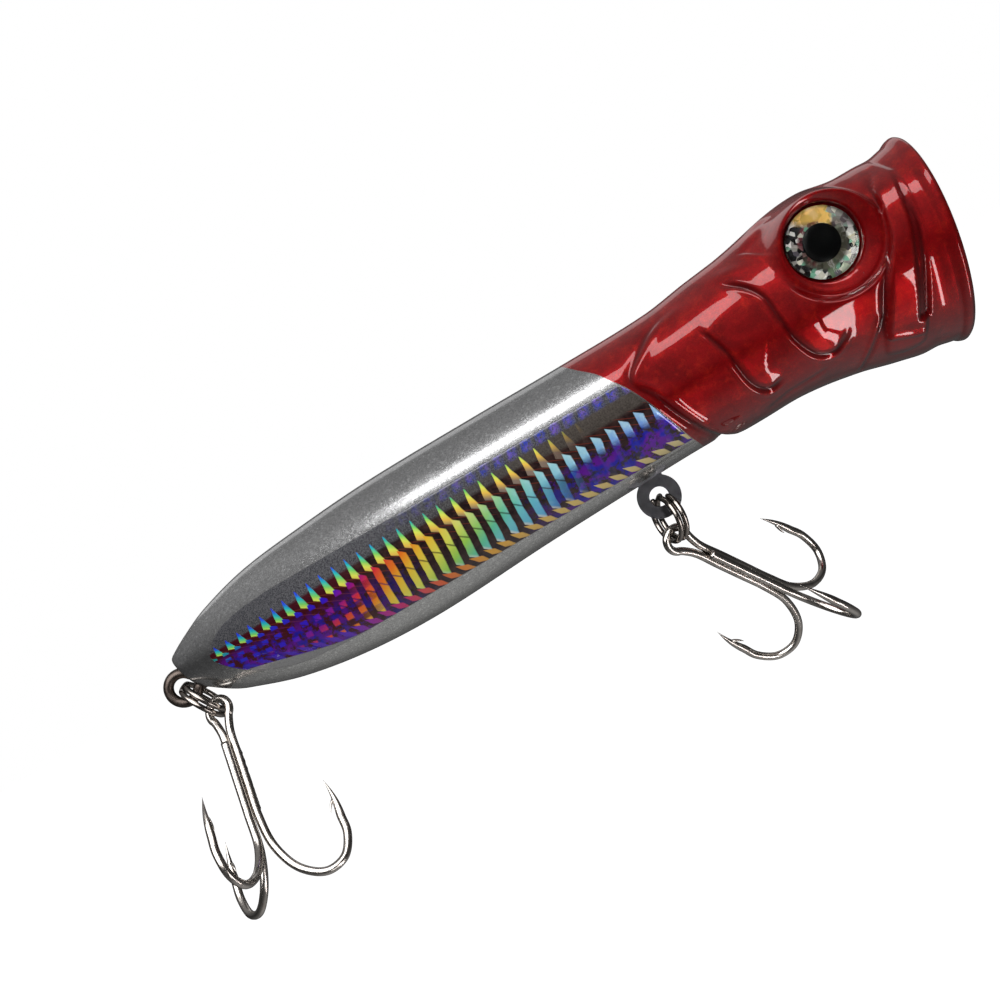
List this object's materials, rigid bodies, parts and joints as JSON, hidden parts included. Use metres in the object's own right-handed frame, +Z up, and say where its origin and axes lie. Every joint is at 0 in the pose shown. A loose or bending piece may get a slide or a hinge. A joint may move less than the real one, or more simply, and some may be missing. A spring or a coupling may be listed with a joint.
{
  "type": "topwater popper",
  "caption": "topwater popper lure with a cupped mouth, a hollow two-part body on a through wire, and treble hooks that swing on split rings at the belly and the tail",
  "frame": {"origin": "centre of the tow loop in the cup, where the line is tied", "axes": "+X is forward towards the mouth, +Z is up towards the back, -Y is the fish's right side"},
  "size_m": [0.2091, 0.065, 0.0926],
  "materials": {
    "body_right": "metallic silver body and candy red head under a clear coat",
    "body_left": "metallic silver body and candy red head under a clear coat",
    "foil_right": "rainbow hologram foil pressed with a scale pattern",
    "foil_left": "rainbow hologram foil pressed with a scale pattern",
    "iris_right": "crinkled hologram foil in gold, silver and green",
    "iris_left": "crinkled hologram foil in gold, silver and green",
    "pupil_right": "gloss black",
    "pupil_left": "gloss black",
    "dome_right": "clear polished dome",
    "dome_left": "clear polished dome",
    "through_wire": "dark bronzed steel wire",
    "belly_hanger": "dull stamped steel",
    "hanger_pin": "plain steel pin",
    "ballast": "dull steel",
    "rattle": "polished steel",
    "split_ring": "black nickel wire, polished",
    "hook": "polished black nickel wire",
    "braze": "dull brazing metal"
  },
  "bodies": {
    "lure_body": {"body_half_right": "body_right", "body_half_left": "body_left", "side_foil_right": "foil_right", "side_foil_left": "foil_left", "eye_foil_right": "iris_right", "eye_foil_left": "iris_left", "pupil_disc_right": "pupil_right", "pupil_disc_left": "pupil_left", "eye_dome_right": "dome_right", "eye_dome_left": "dome_left", "through_wire": "through_wire", "belly_hanger": "belly_hanger", "hanger_pin": "hanger_pin", "ballast_ball_1": "ballast", "ballast_ball_2": "ballast", "ballast_ball_3": "ballast"},
    "tail_ring": {"tail_split_ring": "split_ring"},
    "tail_treble": {"tail_double_hook": "hook", "tail_single_hook": "hook", "tail_braze_web": "braze"},
    "belly_ring": {"belly_split_ring": "split_ring"},
    "belly_treble": {"belly_double_hook": "hook", "belly_single_hook": "hook", "belly_braze_web": "braze"},
    "rattle_right": {"rattle_ball_1": "rattle"},
    "rattle_left": {"rattle_ball_2": "rattle"}
  },
  "joints": [
    {"name": "tail_ring_swing", "type": "hinge", "parent": "lure_body", "child": "tail_ring", "pos_m": [-0.1868, 0, -0.0026], "axis": [0, 1, 0], "range_deg": [-5, 100]},
    {"name": "tail_hook_swing", "type": "hinge", "parent": "tail_ring", "child": "tail_treble", "pos_m": [-0.18203, -0.00319, -0.01086], "axis": [-0.3009, -0.7986, 0.5212], "range_deg": [-100, 50]},
    {"name": "belly_ring_swing", "type": "hinge", "parent": "lure_body", "child": "belly_ring", "pos_m": [-0.074, 0, -0.0195], "axis": [0, 1, 0], "range_deg": [-55, 80]},
    {"name": "belly_hook_swing", "type": "hinge", "parent": "belly_ring", "child": "belly_treble", "pos_m": [-0.07529, 0.00094, -0.02993], "axis": [0.3497, -0.9102, -0.2221], "range_deg": [-110, 55]},
    {"name": "rattle_slide_right", "type": "slide", "parent": "lure_body", "child": "rattle_right", "axis": [1, 0, 0], "range_m": [-0.0046, 0.0046]},
    {"name": "rattle_slide_left", "type": "slide", "parent": "lure_body", "child": "rattle_left", "axis": [1, 0, 0], "range_m": [-0.0046, 0.0046]}
  ]
}
